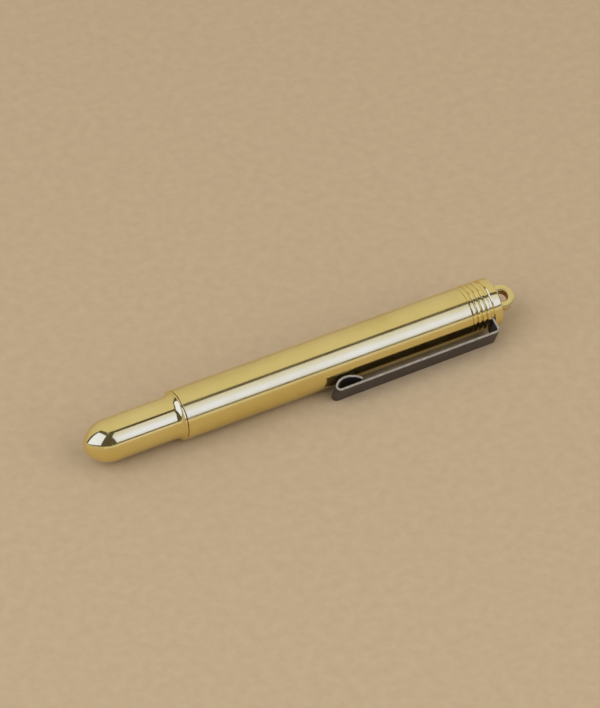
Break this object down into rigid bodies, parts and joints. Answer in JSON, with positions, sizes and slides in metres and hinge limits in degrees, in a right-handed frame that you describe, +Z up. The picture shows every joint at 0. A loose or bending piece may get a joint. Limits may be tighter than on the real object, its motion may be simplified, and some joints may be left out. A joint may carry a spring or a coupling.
{
  "type": "ballpoint pen",
  "caption": "Pull-out pocket ballpoint pen: polished brass tube with a closed domed nose, ridged tail, curled spring-steel clip and a flat lanyard ring.",
  "frame": {"origin": "on the surface it lies on, below the middle of its bounding box", "axes": "+X along the pen from the nose to the lanyard ring, +Z up, the clip on the -Y side tilted down to the surface"},
  "size_m": [0.1032, 0.0142, 0.011],
  "materials": {
    "polished_brass": "polished, lightly hairlined",
    "clip_steel": "dark satin with bare cut edges",
    "spring_steel": "bright drawn wire",
    "grip_wood": "turned, oiled",
    "refill_metal": "nickel-plated satin",
    "nib_metal": "turned nickel silver",
    "ball_carbide": "polished carbide",
    "ink_black": "liquid ink",
    "plug_plastic": "moulded"
  },
  "bodies": {
    "barrel": {"barrel_tube": "polished_brass", "tail_plug": "polished_brass", "clip_root": "clip_steel"},
    "clip_arm": {"clip_arm": "clip_steel"},
    "friction_ring": {"friction_ring": "spring_steel"},
    "pen_unit": {"bullet_nose": "polished_brass", "wood_grip": "grip_wood", "front_ferrule": "polished_brass", "refill_spring": "spring_steel"},
    "refill": {"refill_tube": "refill_metal", "refill_nib": "nib_metal", "ink_column": "ink_black", "refill_tail_plug": "plug_plastic"},
    "tip_cone": {"tip_cone": "polished_brass"},
    "writing_ball": {"writing_ball": "ball_carbide"},
    "finial_disc": {"finial_disc": "polished_brass"},
    "eye_screw": {"eye_screw": "polished_brass"}
  },
  "joints": [
    {"name": "clip_flex", "type": "hinge", "parent": "barrel", "child": "clip_arm", "pos_m": [0.04395, -0.00499, 0.00273], "axis": [0, -0.3877, 0.9218], "range_deg": [0, 4], "stiffness_Nm_per_rad": 0.45, "springref_deg": -1.15},
    {"name": "nose_turn", "type": "hinge", "parent": "barrel", "child": "friction_ring", "pos_m": [-0.02675, 0.0016, 0.0055], "axis": [1, 0, 0], "continuous": true},
    {"name": "nose_pull", "type": "slide", "parent": "friction_ring", "child": "pen_unit", "axis": [-1, 0, 0], "range_m": [0, 0.058]},
    {"name": "refill_feed", "type": "slide", "parent": "pen_unit", "child": "refill", "axis": [1, 0, 0], "range_m": [0, 0.00387], "deforming": ["refill_spring"]},
    {"name": "cone_unscrew", "type": "hinge", "parent": "refill", "child": "tip_cone", "pos_m": [0.01845, 0.0016, 0.0055], "axis": [1, 0, 0], "range_deg": [0, 2790]},
    {"name": "ball_roll", "type": "hinge", "parent": "refill", "child": "writing_ball", "pos_m": [0.02705, 0.0016, 0.0055], "axis": [0, 1, 0], "continuous": true},
    {"name": "disc_lift", "type": "slide", "parent": "barrel", "child": "finial_disc", "axis": [1, 0, 0], "range_m": [0, 0.00487]},
    {"name": "eye_unscrew", "type": "hinge", "parent": "finial_disc", "child": "eye_screw", "pos_m": [0.04635, 0.0016, 0.0055], "axis": [1, 0, 0], "range_deg": [0, 3510]}
  ],
  "couplings": [
    {"joint": "cone_unscrew", "follows": "refill_feed", "rad_per_m": 12566},
    {"joint": "eye_unscrew", "follows": "disc_lift", "rad_per_m": 12566}
  ]
}
